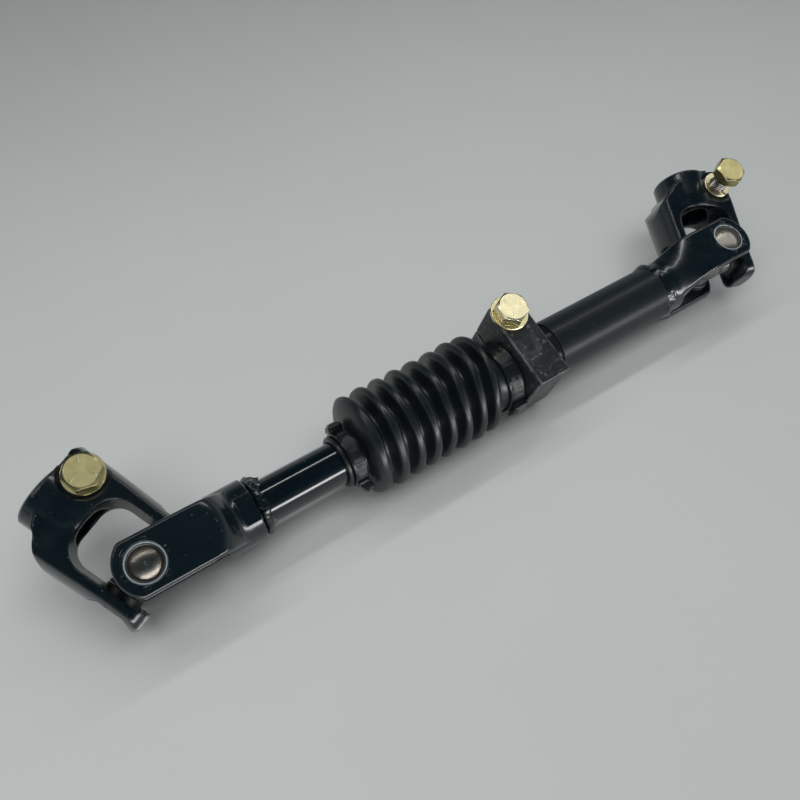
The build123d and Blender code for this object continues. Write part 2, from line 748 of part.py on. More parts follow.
seat = bolt_seat(clamp_frame_low, pinch_x, pinch_y, seat_z, turn=-5)
save(build_washer(seat, 8.0, 4.2, washer_low), "lower_pinch_washer")
save(build_bolt(top(seat, washer_low), length=24.0, thread_from=8.0), "lower_pinch_bolt")

seat = bolt_seat(clamp_frame_up, pinch_x, pinch_y, seat_z, turn=20)
save(build_washer(seat, 6.9, 4.25, washer_up, split=True), "upper_lock_washer")
save(build_bolt(top(seat, washer_up + upper_bolt_proud), length=25.0, thread_from=2.0),
     "upper_pinch_bolt")

seat = bolt_seat(axis_frame, collar_bolt_x, collar_bolt_y, collar_top, turn=24)
save(build_washer(seat, 8.4, 4.2, washer_collar), "clamp_washer")
save(build_bolt(top(seat, washer_collar), length=36.0, thread_from=15.0), "clamp_bolt")

save(build_inner_shaft(), "inner_shaft")
save(build_lower_weld(), "lower_shaft_weld")
save(build_outer_tube(), "outer_tube")
save(build_upper_weld(), "upper_shaft_weld")
save(build_clamp_collar(), "clamp_collar")
save(build_bellows_boot(), "bellows_boot")
save(build_tie(83.1, 89.9, small_cuff_r, head_angle=12), "small_cable_tie")
save(build_tie(159.6, 166.8, large_cuff_r, head_angle=-170), "large_cable_tie")
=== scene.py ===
"""A telescoping shaft with a universal joint and clamp yoke at each end.

The shaft lies along +X from the lower joint to the upper joint. The CAD pieces get
materials; the bellows boot, cable ties and weld beads are built here as detailed meshes.
Stations and radii round the shaft are in mm, x measured from the lower joint.
"""

import json
import math
import random

import bmesh
import bpy
from mathutils import Matrix, Vector, noise


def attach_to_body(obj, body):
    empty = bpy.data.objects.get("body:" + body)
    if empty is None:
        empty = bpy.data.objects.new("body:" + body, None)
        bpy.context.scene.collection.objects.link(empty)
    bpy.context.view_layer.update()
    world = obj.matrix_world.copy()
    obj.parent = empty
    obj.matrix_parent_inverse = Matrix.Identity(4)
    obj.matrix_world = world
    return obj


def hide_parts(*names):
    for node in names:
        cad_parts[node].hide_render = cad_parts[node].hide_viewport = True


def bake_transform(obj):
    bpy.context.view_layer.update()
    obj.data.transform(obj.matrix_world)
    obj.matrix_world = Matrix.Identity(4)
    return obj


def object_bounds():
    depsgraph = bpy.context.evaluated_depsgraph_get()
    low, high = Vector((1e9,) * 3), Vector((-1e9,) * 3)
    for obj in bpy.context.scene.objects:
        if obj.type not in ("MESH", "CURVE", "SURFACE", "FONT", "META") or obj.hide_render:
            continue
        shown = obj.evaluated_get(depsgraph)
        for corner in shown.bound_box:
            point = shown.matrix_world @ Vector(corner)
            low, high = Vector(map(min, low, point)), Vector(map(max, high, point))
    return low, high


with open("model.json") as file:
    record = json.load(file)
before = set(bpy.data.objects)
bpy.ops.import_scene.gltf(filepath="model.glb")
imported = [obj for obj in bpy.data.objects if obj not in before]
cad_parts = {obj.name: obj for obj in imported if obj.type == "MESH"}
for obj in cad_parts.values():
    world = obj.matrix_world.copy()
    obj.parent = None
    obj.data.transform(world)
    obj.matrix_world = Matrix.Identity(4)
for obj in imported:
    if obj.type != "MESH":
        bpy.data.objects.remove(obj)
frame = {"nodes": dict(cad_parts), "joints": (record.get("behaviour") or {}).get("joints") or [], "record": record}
cad_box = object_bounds()
scene = bpy.context.scene

# ------------------------------------------------------------------ places from the frame
MM = 0.001
joints = {j["name"]: j for j in frame["joints"]}
mounts = {m["name"]: Vector(m["pos_m"]) for m in frame["record"]["mounts"]}
LOWER_JOINT = Vector(joints["lower_fold"]["pos_m"])
UPPER_JOINT = Vector(joints["upper_fold"]["pos_m"])
LOWER_FOLD = Vector(joints["lower_fold"]["axis"])
UPPER_FOLD = Vector(joints["upper_fold"]["axis"])
LOWER_LEAN = Vector(joints["lower_lean"]["axis"])
UPPER_LEAN = Vector(joints["upper_lean"]["axis"])
LOWER_BORE = (mounts["lower_bore"] - LOWER_JOINT).normalized()
UPPER_BORE = (mounts["upper_bore"] - UPPER_JOINT).normalized()
MIDDLE = (LOWER_JOINT + UPPER_JOINT) / 2

ALONG = Vector((1, 0, 0))
HIGH_SIDE = Vector((0, 0.82, 0.57)).normalized()    # the side the boot sits high on
ACROSS = ALONG.cross(HIGH_SIDE)

# pinch bolts: the underside of each head, on the bolt's axis
BOLT_REACH = 37.0       # from the joint, along the clamp's bore
BOLT_OFFSET = 12.6      # to the side of the bore, against the lean axis
LOWER_BOLT_AXIS = LOWER_BORE.cross(LOWER_LEAN).normalized()
UPPER_BOLT_AXIS = UPPER_BORE.cross(UPPER_LEAN).normalized()


def bolt_seat(joint, bore, lean, axis, height):
    return joint + (bore * BOLT_REACH - lean * BOLT_OFFSET + axis * height) * MM


LOWER_BOLT = bolt_seat(LOWER_JOINT, LOWER_BORE, LOWER_LEAN, LOWER_BOLT_AXIS, height=11.1)
UPPER_BOLT = bolt_seat(UPPER_JOINT, UPPER_BORE, UPPER_LEAN, UPPER_BOLT_AXIS, height=19.2)

NECK_END = 192.6                    # end of the outer tube's turned neck
SHAFT_CUP_FACE = 19.7               # end face of the bearing cups, from the joint
CLAMP_CUP_FACE = 17.9


def radial_at(angle):
    return HIGH_SIDE * math.cos(angle) + ACROSS * math.sin(angle)


def on_axis(x, r=0.0, angle=0.0, lift=0.0):
    """Point x mm along the shaft, r mm out at angle from the high side."""
    return (LOWER_JOINT + ALONG * (x * MM) + radial_at(angle) * (r * MM)
            + HIGH_SIDE * (lift * MM))


def smooth(start, end, x):
    t = min(1.0, max(0.0, (x - start) / (end - start)))
    return t * t * (3 - 2 * t)


# ------------------------------------------------------------------ material builder
def scaled(colour, factor):
    return tuple(v * factor for v in colour)


class Look:
    """A Principled material built up in layers, held in colour and normal."""

    def __init__(self, name):
        self.mat = bpy.data.materials.new(name)
        self.mat.use_nodes = True
        self.tree = self.mat.node_tree
        self.tree.nodes.clear()
        out = self.node("OutputMaterial")
        self.bsdf = self.node("BsdfPrincipled")
        self.tree.links.new(self.bsdf.outputs[0], out.inputs[0])
        self.position = self.node("TexCoord").outputs["Object"]
        self.colour = None
        self.normal = None

    def node(self, kind):
        return self.tree.nodes.new("ShaderNode" + kind)

    def put(self, socket, value):
        """Link a socket, or set a number, colour or vector."""
        if isinstance(value, bpy.types.NodeSocket):
            self.tree.links.new(value, socket)
        elif socket.type == "RGBA":
            rgb = (value,) * 3 if isinstance(value, (int, float)) else value
            socket.default_value = (*rgb, 1.0)
        else:
            socket.default_value = value

    def finish(self, **inputs):
        """Feed the Principled inputs, with _ for a space, and return the material."""
        inputs.update(Base_Color=self.colour, Normal=self.normal)
        for name, value in inputs.items():
            self.put(self.bsdf.inputs[name.replace("_", " ")], value)
        return self.mat

    # ---- arithmetic
    def calc(self, operation, a, b=0.0, clamp=False):
        n = self.node("Math")
        n.operation = operation
        n.use_clamp = clamp
        self.put(n.inputs[0], a)
        self.put(n.inputs[1], b)
        return n.outputs[0]

    def times(self, value, strength):
        return self.calc("MULTIPLY", value, strength)

    def add(self, a, b, clamp=False):
        return self.calc("ADD", a, b, clamp)

    def most(self, a, b):
        return self.calc("MAXIMUM", a, b)

    def vector(self, operation, a, b=None):
        n = self.node("VectorMath")
        n.operation = operation
        self.put(n.inputs[0], a)
        if b is not None:
            self.put(n.inputs[1], b)
        return n.outputs["Value" if operation in ("DOT_PRODUCT", "LENGTH") else "Vector"]

    def span(self, value, between=(0.3, 0.7), to=(0.0, 1.0)):
        n = self.node("MapRange")
        n.inputs["From Min"].default_value, n.inputs["From Max"].default_value = between
        n.inputs["To Min"].default_value, n.inputs["To Max"].default_value = to
        self.put(n.inputs["Value"], value)
        return n.outputs["Result"]

    # ---- patterns
    def noise(self, scale=1.0, detail=3.0, rough=0.55, stretch=None, distort=0.0):
        n = self.node("TexNoise")
        where = self.vector("MULTIPLY", self.position, stretch) if stretch else self.position
        self.put(n.inputs["Vector"], where)
        n.inputs["Scale"].default_value = scale
        n.inputs["Detail"].default_value = detail
        n.inputs["Roughness"].default_value = rough
        n.inputs["Distortion"].default_value = distort
        return n.outputs["Fac"]

    def patches(self, fade, peak=1.0, **noise_settings):
        """Noise that is 0 below fade[0] and rises to peak at fade[1]."""
        n = self.node("ValToRGB")
        self.put(n.inputs["Fac"], self.noise(**noise_settings))
        for element, place, level in zip(n.color_ramp.elements, fade, (0.0, peak)):
            element.position = place
            element.color = (level, level, level, 1)
        return n.outputs["Color"]

    def specks(self, scale, size, keep):
        """Round marks in the Voronoi cells whose own random number is over keep."""
        cells = self.node("TexVoronoi")
        self.put(cells.inputs["Vector"], self.position)
        cells.inputs["Scale"].default_value = scale
        chance = self.node("SeparateColor")
        self.put(chance.inputs[0], cells.outputs["Color"])
        near = self.calc("LESS_THAN", cells.outputs["Distance"],
                         self.times(chance.outputs[1], size))
        return self.times(near, self.calc("GREATER_THAN", chance.outputs[0], keep))

    # ---- distances
    def axis_radius(self, origin, axis):
        """Distance in mm from a line."""
        offset = self.vector("SUBTRACT", self.position, tuple(origin))
        return self.times(self.vector("LENGTH", self.vector("CROSS_PRODUCT", offset, tuple(axis))),
                          1000.0)

    def reach(self, origin, axis):
        """Distance in metres along an axis."""
        offset = self.vector("SUBTRACT", self.position, tuple(origin))
        return self.vector("DOT_PRODUCT", offset, tuple(axis))

    # ---- edges and layers
    def bevel(self, radius, samples=5):
        n = self.node("Bevel")
        n.samples = samples
        n.inputs["Radius"].default_value = radius * MM
        return n.outputs["Normal"]

    def round_edges(self, radius, samples=5):
        self.normal = self.bevel(radius, samples)

    def edge(self, bevel_normal, gain):
        """1 on sharp edges, 0 on open faces."""
        facing = self.vector("DOT_PRODUCT", bevel_normal, self.node("NewGeometry").outputs["Normal"])
        return self.calc("MULTIPLY", self.calc("SUBTRACT", 1.0, facing), gain, clamp=True)

    def bump(self, height, depth, strength):
        """Add relief, depth in mm, to the normal."""
        n = self.node("Bump")
        n.inputs["Strength"].default_value = strength
        n.inputs["Distance"].default_value = depth * MM
        self.put(n.inputs["Height"], height)
        if self.normal is not None:
            self.put(n.inputs["Normal"], self.normal)
        self.normal = n.outputs["Normal"]

    def mix(self, amount, under, over):
        n = self.node("Mix")
        n.data_type = "RGBA"
        self.put(n.inputs[0], amount)
        self.put(n.inputs[6], under)
        self.put(n.inputs[7], over)
        return n.outputs[2]

    def lay(self, amount, over, strength=None):
        """Lay a colour over the material's colour so far."""
        if strength is not None:
            amount = self.times(amount, strength)
        self.colour = self.mix(amount, self.colour, over)


# ------------------------------------------------------------------ materials
GREY_DUST = (0.12, 0.125, 0.13)


def gloss_paint(name, dust, wave, edge_radius, haze, tip=None):
    """Near-black gloss paint; tip = (origin, axis, mm along it) wears through to steel."""
    g = Look(name)
    g.round_edges(radius=edge_radius, samples=6)
    worn = g.edge(g.bevel(radius=0.5, samples=4), gain=5.0)
    g.colour = g.mix(g.noise(scale=38, detail=4, rough=0.6),
                     under=(0.0009, 0.0030, 0.0046), over=(0.0028, 0.0062, 0.0084))
    film = g.times(g.patches(fade=(0.46, 0.78), scale=120, detail=6, rough=0.7), dust)
    grit = g.specks(scale=620, size=0.22, keep=0.80)
    lint = g.times(g.patches(fade=(0.70, 0.76), scale=900, detail=2, rough=0.6,
                             stretch=(1, 0.25, 0.6)), strength=0.5)
    dirt = g.most(g.times(film, strength=0.12), g.most(g.times(grit, dust), g.times(lint, dust)))
    g.lay(dirt, over=(0.050, 0.060, 0.066))
    chipped = g.times(worn, g.patches(fade=(0.50, 0.66), scale=260, detail=4, rough=0.7))
    g.lay(chipped, over=(0.13, 0.135, 0.14), strength=0.55)
    metallic = 0.0
    if tip is not None:
        # the sawn ends of the arms: thin paint, rubbed through to steel
        origin, axis, start = tip
        near = g.span(g.times(g.reach(origin, axis), 1000.0), between=(start + 0.5, start - 0.1))
        bare = g.times(near, g.patches(fade=(0.47, 0.56), scale=230, detail=5, rough=0.7,
                                       stretch=(1.0, 0.6, 1.4)))
        rubbed = g.times(near, g.times(worn, g.patches(fade=(0.38, 0.50), scale=300, detail=4,
                                                       rough=0.7)))
        bare = g.most(bare, rubbed)
        g.lay(bare, over=(0.46, 0.46, 0.45))
        metallic = g.times(bare, strength=0.5)
    rough = g.span(g.noise(scale=70, detail=4, rough=0.6), between=(0.3, 0.75), to=(0.10, 0.26))
    rough = g.add(rough, g.times(dirt, strength=0.5), clamp=True)
    g.bump(g.noise(scale=55, rough=0.5), depth=0.30 * wave, strength=0.55)
    g.bump(g.noise(scale=420, rough=0.5), depth=0.030, strength=0.6)
    g.bump(g.most(grit, lint), depth=0.05, strength=0.7)
    return g.finish(Metallic=metallic, Roughness=g.add(rough, 0.10 * haze), IOR=1.5,
                    Coat_Weight=0.55 - 0.25 * haze, Coat_Roughness=0.05 + 0.14 * haze,
                    Coat_IOR=1.5, Coat_Normal=g.normal)


def shaft_paint(name):
    """Smooth bar under the same gloss paint, with long drawn marks."""
    g = Look(name)
    g.round_edges(radius=0.4)
    streak = g.noise(detail=4, rough=0.6, stretch=(14, 900, 900))
    g.colour = g.mix(g.noise(scale=30, detail=4, rough=0.6),
                     under=(0.0007, 0.0022, 0.0036), over=(0.0020, 0.0044, 0.0064))
    dust = g.times(g.specks(scale=540, size=0.20, keep=0.86), strength=0.35)
    film = g.times(g.patches(fade=(0.50, 0.80), scale=150, detail=6, rough=0.7), strength=0.05)
    g.lay(g.most(dust, film), over=(0.09, 0.095, 0.10))
    rough = g.add(g.span(streak, to=(0.07, 0.15)), g.times(dust, strength=0.5))
    g.bump(g.noise(scale=16, detail=2, rough=0.5), depth=0.10, strength=0.5)
    g.bump(streak, depth=0.006, strength=0.6)
    g.bump(dust, depth=0.04, strength=0.6)
    return g.finish(Roughness=rough, Coat_Weight=0.5, Coat_Roughness=0.04, Coat_Normal=g.normal)


def tube_satin(name, ring_pitch=0.55):
    """Drawn tube in a satin coat; its neck is turned in fine rings."""
    g = Look(name)
    g.round_edges(radius=0.4)
    split = g.node("SeparateXYZ")
    g.put(split.inputs[0], g.position)
    x = g.times(g.calc("SUBTRACT", split.outputs[0], LOWER_JOINT.x), 1000.0)
    neck = g.calc("LESS_THAN", x, NECK_END)
    streak = g.noise(detail=5, rough=0.65, stretch=(10, 700, 700))
    worn = g.edge(g.normal, gain=6.0)
    g.colour = g.mix(g.noise(scale=26, detail=4, rough=0.6),
                     under=(0.0035, 0.0058, 0.0074), over=(0.0080, 0.0108, 0.0126))
    g.lay(streak, over=(0.0120, 0.0150, 0.0165), strength=0.35)
    dust = g.times(g.specks(scale=520, size=0.22, keep=0.84), strength=0.30)
    rubbed = g.times(g.times(worn, g.noise(scale=300)), strength=0.7)
    g.lay(g.most(dust, rubbed), over=(0.13, 0.135, 0.14))
    rough = g.mix(neck, under=g.span(streak, to=(0.32, 0.44)), over=g.span(streak, to=(0.16, 0.26)))
    rings = g.times(g.calc("SINE", g.times(x, 2 * math.pi / ring_pitch)), neck)
    g.bump(streak, depth=0.012, strength=0.7)
    g.bump(rings, depth=0.030, strength=0.8)
    g.bump(g.noise(scale=1300, detail=2), depth=0.006, strength=0.6)
    return g.finish(Roughness=rough, Coat_Weight=0.04, Coat_Roughness=0.22,
                    Specular_IOR_Level=0.25)


def block_satin(name):
    """Milled collar block: satin black, rubbed grey along its edges, scuffed on its faces."""
    g = Look(name)
    g.round_edges(radius=0.7, samples=6)
    worn = g.edge(g.normal, gain=7.0)
    mill = g.noise(rough=0.6, stretch=(1500, 120, 120))
    scuff = g.patches(fade=(0.50, 0.72), scale=95, detail=7, rough=0.72, distort=0.6)
    g.colour = g.mix(g.noise(scale=60, detail=5, rough=0.65),
                     under=(0.0045, 0.0060, 0.0068), over=(0.0120, 0.0142, 0.0150))
    g.lay(scuff, over=(0.055, 0.060, 0.062), strength=0.65)
    fleck = g.patches(fade=(0.57, 0.66), detail=6, rough=0.75, stretch=(260, 420, 420))
    g.lay(fleck, over=(0.13, 0.138, 0.140), strength=0.75)
    rub = g.times(worn, g.patches(fade=(0.34, 0.56), scale=340, detail=5, rough=0.75))
    g.lay(rub, over=(0.30, 0.305, 0.305), strength=0.85)
    g.lay(g.specks(scale=700, size=0.25, keep=0.80), over=GREY_DUST, strength=0.5)
    rough = g.add(g.span(mill, to=(0.34, 0.50)), g.times(scuff, strength=0.10))
    g.bump(mill, depth=0.014, strength=0.8)
    g.bump(g.noise(scale=420, detail=6, rough=0.7), depth=0.10, strength=0.8)
    g.bump(scuff, depth=0.05, strength=0.7)
    return g.finish(Roughness=rough)


def zinc(name, warm, shade, bolt=None):
    """Pale yellow zinc; bolt = (head underside, axis) gives grey threads with painted shade in their roots."""
    g = Look(name)
    g.round_edges(radius=0.3, samples=6)
    worn = g.edge(g.normal, gain=6.0)
    g.colour = g.mix(g.patches(fade=(0.38, 0.62), scale=170, detail=5, rough=0.65),
                     under=scaled((0.72, 0.64, 0.42 - 0.08 * warm), shade),
                     over=scaled((0.56, 0.51, 0.34 - 0.08 * warm), shade))
    g.lay(g.patches(fade=(0.48, 0.75), peak=0.45, scale=90, rough=0.6, distort=0.6),
          over=scaled((0.64, 0.50, 0.28 - 0.06 * warm), shade))
    grime = g.patches(fade=(0.62, 0.85), peak=0.30, scale=520, detail=5, rough=0.7)
    g.lay(grime, over=scaled((0.16, 0.14, 0.07), shade))
    g.lay(worn, over=(0.86, 0.83, 0.70), strength=0.40)
    rough = g.add(g.span(g.noise(scale=230, detail=5, rough=0.7), to=(0.16, 0.28)),
                  g.times(grime, strength=0.15))
    if bolt is not None:
        shank_radius = 4.15
        thread_depth = (3.85, 3.55)     # radii where the painted shade starts and is full
        below_head = -0.0001            # metres
        r = g.axis_radius(*bolt)
        shank = g.times(g.calc("LESS_THAN", r, shank_radius),
                        g.calc("LESS_THAN", g.reach(*bolt), below_head))
        g.lay(shank, over=(0.42, 0.40, 0.36))
        groove = g.times(shank, g.span(r, between=thread_depth))
        # painted shade in the thread roots
        g.lay(groove, over=(0.035, 0.028, 0.020), strength=0.92)
    g.bump(g.noise(scale=900, detail=4, rough=0.6), depth=0.010, strength=0.6)
    return g.finish(Metallic=0.96, Roughness=rough)


def cup_steel(name, origin, axis, face, tone, swell=0.7, rim_dulling_and_painted_reflection=0.0):
    """Bearing cup end: zinc-bright rim, painted shade in the groove, brownish pressed dome with a painted bluish
    reflection at its centre.
    """
    groove_radius, rim_radius, dome_radius = 6.02, 6.72, 6.1
    ring_pitch = 0.42
    g = Look(name)
    r = g.axis_radius(origin, axis)
    g.round_edges(radius=0.25)
    rim = g.calc("GREATER_THAN", r, rim_radius)
    groove = g.times(g.calc("GREATER_THAN", r, groove_radius), g.calc("LESS_THAN", r, rim_radius))
    rings = g.calc("SINE", g.times(r, 2 * math.pi / ring_pitch))
    cloud = g.noise(scale=330, detail=5, rough=0.65)
    g.colour = g.mix(cloud, under=scaled((0.38, 0.355, 0.305), tone),
                     over=scaled((0.26, 0.240, 0.200), tone))
    g.lay(g.patches(fade=(0.50, 0.80), peak=0.75, scale=210, detail=5, rough=0.7, distort=1.0),
          over=(0.24, 0.20, 0.17))
    # painted reflection: a bluish-dark centre on the dome, strongest on the lower shaft cups
    g.lay(g.span(r, between=(0.5, 2.6), to=(0.12 + 0.48 * rim_dulling_and_painted_reflection, 0.0)),
          over=scaled((0.20, 0.28, 0.31), tone))
    g.lay(g.span(r, between=(4.6, 6.0)), over=scaled((0.30, 0.26, 0.23), tone))
    g.lay(rim, over=g.mix(cloud, under=(0.30, 0.35, 0.37), over=(0.17, 0.20, 0.22)))
    # painted shade: the groove between rim and dome darkened to near black
    g.lay(groove, over=(0.035, 0.034, 0.032))
    rough = g.mix(rim, under=g.span(cloud, to=(0.24, 0.36)), over=g.span(cloud, to=(0.18, 0.30)))
    inside = g.calc("MINIMUM", g.calc("DIVIDE", r, dome_radius), 1.0)
    dome = g.calc("SUBTRACT", 1.0, g.calc("POWER", inside, 2.2))
    g.bump(dome, depth=swell, strength=1.0)
    g.bump(rings, depth=0.004, strength=0.5)
    g.bump(g.noise(scale=1100, rough=0.6), depth=0.008, strength=0.6)
    # the cup's side wall, short of its end face
    wall = g.calc("LESS_THAN", g.times(g.calc("ABSOLUTE", g.reach(origin, axis)), 1000.0), face)
    g.lay(wall, over=(0.020, 0.020, 0.021))
    dull = g.add(g.times(groove, strength=0.6), g.times(rim, strength=0.60 * rim_dulling_and_painted_reflection))
    return g.finish(Metallic=g.calc("SUBTRACT", 0.95, dull),
                    Roughness=g.add(rough, g.times(wall, strength=0.2)))


def dark_steel(name, base=(0.26, 0.26, 0.27), rough=(0.30, 0.45), grease=0.6):
    """Steel under a patchy film of dark grease."""
    g = Look(name)
    g.round_edges(radius=0.4)
    g.colour = g.mix(g.noise(scale=140, detail=5, rough=0.65), under=base, over=scaled(base, 0.7))
    film = g.times(g.patches(fade=(0.40, 0.62), scale=75, detail=4, rough=0.6, distort=0.8), grease)
    g.lay(film, over=(0.010, 0.009, 0.008))
    gloss = g.mix(film, under=g.span(g.noise(scale=400, detail=4), to=rough), over=0.18)
    g.bump(g.noise(scale=260, detail=4, rough=0.6), depth=0.05, strength=0.6)
    g.bump(g.noise(scale=1500, detail=2), depth=0.008, strength=0.6)
    return g.finish(Metallic=g.calc("SUBTRACT", 0.9, g.times(film, strength=0.5)), Roughness=gloss)


def rubber(name, rough=(0.45, 0.62), base=(0.004, 0.0045, 0.005), dust=0.4, streaks=False):
    g = Look(name)
    g.colour = g.mix(g.noise(scale=60, detail=5, rough=0.6), under=base, over=scaled(base, 1.9))
    bloom = g.times(g.patches(fade=(0.48, 0.80), scale=34, detail=6, rough=0.7),
                    strength=0.10 * dust)
    grit = g.times(g.specks(scale=560, size=0.22, keep=0.85), strength=0.55 * dust)
    hair = g.times(g.patches(fade=(0.735, 0.765), detail=2, rough=0.5, stretch=(900, 70, 70)),
                   strength=0.20 * dust)
    dirt = g.most(bloom, g.most(grit, hair))
    g.lay(dirt, over=(0.060, 0.068, 0.070))
    dullness = g.add(g.span(g.noise(scale=85, detail=5, rough=0.65), to=rough),
                     g.times(dirt, strength=0.3), clamp=True)
    g.bump(g.noise(scale=480, detail=4, rough=0.6), depth=0.030, strength=0.6)
    g.bump(g.noise(scale=1900, detail=2, rough=0.5), depth=0.010, strength=0.6)
    if streaks:
        g.bump(g.noise(rough=0.6, stretch=(1500, 60, 60)), depth=0.035, strength=0.6)
        shine = g.patches(fade=(0.45, 0.60), scale=70, rough=0.6)
        dullness = g.calc("SUBTRACT", dullness, g.times(shine, strength=0.08), clamp=True)
    return g.finish(Roughness=dullness, IOR=1.55)


def nylon(name):
    g = Look(name)
    g.round_edges(radius=0.3)
    g.colour = g.mix(g.noise(scale=90, detail=4, rough=0.6),
                     under=(0.0026, 0.0040, 0.0048), over=(0.0060, 0.0078, 0.0086))
    g.lay(g.specks(scale=640, size=0.22, keep=0.82), over=GREY_DUST, strength=0.4)
    g.lay(g.edge(g.normal, gain=5.0), over=(0.050, 0.053, 0.057), strength=0.35)
    rough = g.span(g.noise(scale=300, detail=4, rough=0.6), to=(0.17, 0.27))
    g.bump(g.noise(scale=800, rough=0.6), depth=0.015, strength=0.6)
    return g.finish(Roughness=rough)


def weld_paint(name):
    """Gloss paint over a rough bead, with spots of bare metal."""
    g = Look(name)
    g.colour = g.mix(g.noise(scale=110, detail=5, rough=0.65),
                     under=(0.0012, 0.0030, 0.0042), over=(0.0040, 0.0070, 0.0086))
    bare = g.times(g.patches(fade=(0.64, 0.70), scale=420, detail=4, rough=0.7), strength=0.75)
    g.lay(bare, over=(0.42, 0.43, 0.44))
    rough = g.span(g.noise(scale=250, detail=4, rough=0.6), to=(0.10, 0.26))
    g.bump(g.noise(scale=650, detail=4, rough=0.65), depth=0.10, strength=0.8)
    return g.finish(Roughness=rough, Metallic=g.times(bare, strength=0.9),
                    Coat_Weight=0.4, Coat_Roughness=0.08)


def floor_sheet(name):
    g = Look(name)
    g.colour = g.mix(g.noise(scale=6, detail=4, rough=0.6),
                     under=(0.488, 0.508, 0.500), over=(0.529, 0.549, 0.541))
    rough = g.span(g.noise(scale=40, detail=4), to=(0.55, 0.65))
    g.bump(g.noise(scale=900), depth=0.02, strength=0.4)
    return g.finish(Roughness=rough, Specular_IOR_Level=0.25)


NEEDLES = dict(base=(0.66, 0.66, 0.68), rough=(0.10, 0.18), grease=0.2)
LOOKS = {
    "lower_clamp_yoke": gloss_paint("paint_lower_clamp", dust=0.50, wave=0.40, edge_radius=1.8,
                                    haze=0.3, tip=(LOWER_JOINT, LOWER_BORE, -11.9)),
    "upper_clamp_yoke": gloss_paint("paint_upper_clamp", dust=0.25, wave=0.20, edge_radius=2.2,
                                    haze=0.35),
    "lower_shaft_yoke": gloss_paint("paint_lower_shaft_yoke", dust=0.30, wave=0.22,
                                    edge_radius=0.6, haze=0.35),
    "upper_shaft_yoke": gloss_paint("paint_upper_shaft_yoke", dust=0.20, wave=0.15,
                                    edge_radius=1.0, haze=0.5),
    "inner_shaft": shaft_paint("paint_shaft"),
    "outer_tube": tube_satin("satin_tube"),
    "clamp_collar": block_satin("satin_block"),
    "lower_shaft_cups": cup_steel("cups_lower_shaft", LOWER_JOINT, LOWER_FOLD, SHAFT_CUP_FACE,
                                  tone=0.55, swell=1.1, rim_dulling_and_painted_reflection=1.0),
    "lower_clamp_cups": cup_steel("cups_lower_clamp", LOWER_JOINT, LOWER_LEAN, CLAMP_CUP_FACE,
                                  tone=0.5),
    "upper_shaft_cups": cup_steel("cups_upper_shaft", UPPER_JOINT, UPPER_FOLD, SHAFT_CUP_FACE,
                                  tone=0.80),
    "upper_clamp_cups": cup_steel("cups_upper_clamp", UPPER_JOINT, UPPER_LEAN, CLAMP_CUP_FACE,
                                  tone=0.5),
    "lower_cross": dark_steel("steel_lower_cross"),
    "upper_cross": dark_steel("steel_upper_cross"),
    "lower_needle_rollers": dark_steel("steel_lower_needles", **NEEDLES),
    "upper_needle_rollers": dark_steel("steel_upper_needles", **NEEDLES),
    "lower_trunnion_seals": rubber("seal_rubber_lower"),
    "upper_trunnion_seals": rubber("seal_rubber_upper"),
    "lower_pinch_bolt": zinc("zinc_lower_bolt", warm=1.3, shade=0.46,
                             bolt=(LOWER_BOLT, LOWER_BOLT_AXIS)),
    "lower_pinch_washer": zinc("zinc_lower_washer", warm=1.0, shade=0.45),
    "upper_pinch_bolt": zinc("zinc_upper_bolt", warm=1.4, shade=0.66,
                             bolt=(UPPER_BOLT, UPPER_BOLT_AXIS)),
    "upper_lock_washer": zinc("zinc_lock_washer", warm=0.0, shade=0.90),
    "clamp_bolt": zinc("zinc_clamp_bolt", warm=0.15, shade=1.15),
    "clamp_washer": zinc("zinc_clamp_washer", warm=0.6, shade=1.0),
}
for node_name, material in LOOKS.items():
    slots = frame["nodes"][node_name].data.materials
    slots.clear()
    slots.append(material)


# ------------------------------------------------------------------ mesh helpers
def smooth_object(name, mesh, material):
    mesh.polygons.foreach_set("use_smooth", [True] * len(mesh.polygons))
    mesh.materials.append(material)
    made = bpy.data.objects.new(name, mesh)
    scene.collection.objects.link(made)
    return made


def ring_sweep(name, profile, place, turns, material):
    """Closed profile swept round the shaft; place(station, angle) gives each point."""
    count = len(profile)
    verts, faces = [], []
    for k in range(turns):
        angle = 2 * math.pi * k / turns
        verts += [tuple(place(station, angle)) for station in profile]
        this_ring, next_ring = k * count, (k + 1) % turns * count
        for i in range(count):
            i2 = (i + 1) % count
            faces.append((this_ring + i, next_ring + i, next_ring + i2, this_ring + i2))
    mesh = bpy.data.meshes.new(name)
    mesh.from_pydata(verts, [], faces)
    mesh.validate()
    mesh.update()
    bm = bmesh.new()
    bm.from_mesh(mesh)
    bmesh.ops.recalc_face_normals(bm, faces=bm.faces)
    bm.to_mesh(mesh)
    bm.free()
    return smooth_object(name, mesh, material)


def attach(piece, node, slot, body):
    """Stand a piece in for a CAD node and let it ride on a body."""
    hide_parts(node)
    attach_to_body(piece, body)


# ------------------------------------------------------------------ bellows boot
FIRST_FOLD = 94.4
FOLD_PITCH = 8.24
CREST_RADII = [21.5, 21.8, 21.6, 21.9, 21.7, 21.6, 21.8, 21.3]
VALLEY_RADIUS = 15.3
FOLD_STEPS = 22
LAST_FOLD = FIRST_FOLD + FOLD_PITCH * (len(CREST_RADII) - 1)
BOOT_TURNS = 160
INNER_INSET = 1.4175    # inner wall's drop in radius from the outer wall
END_INSET = 0.9         # inner wall's set-back in x at the two ends

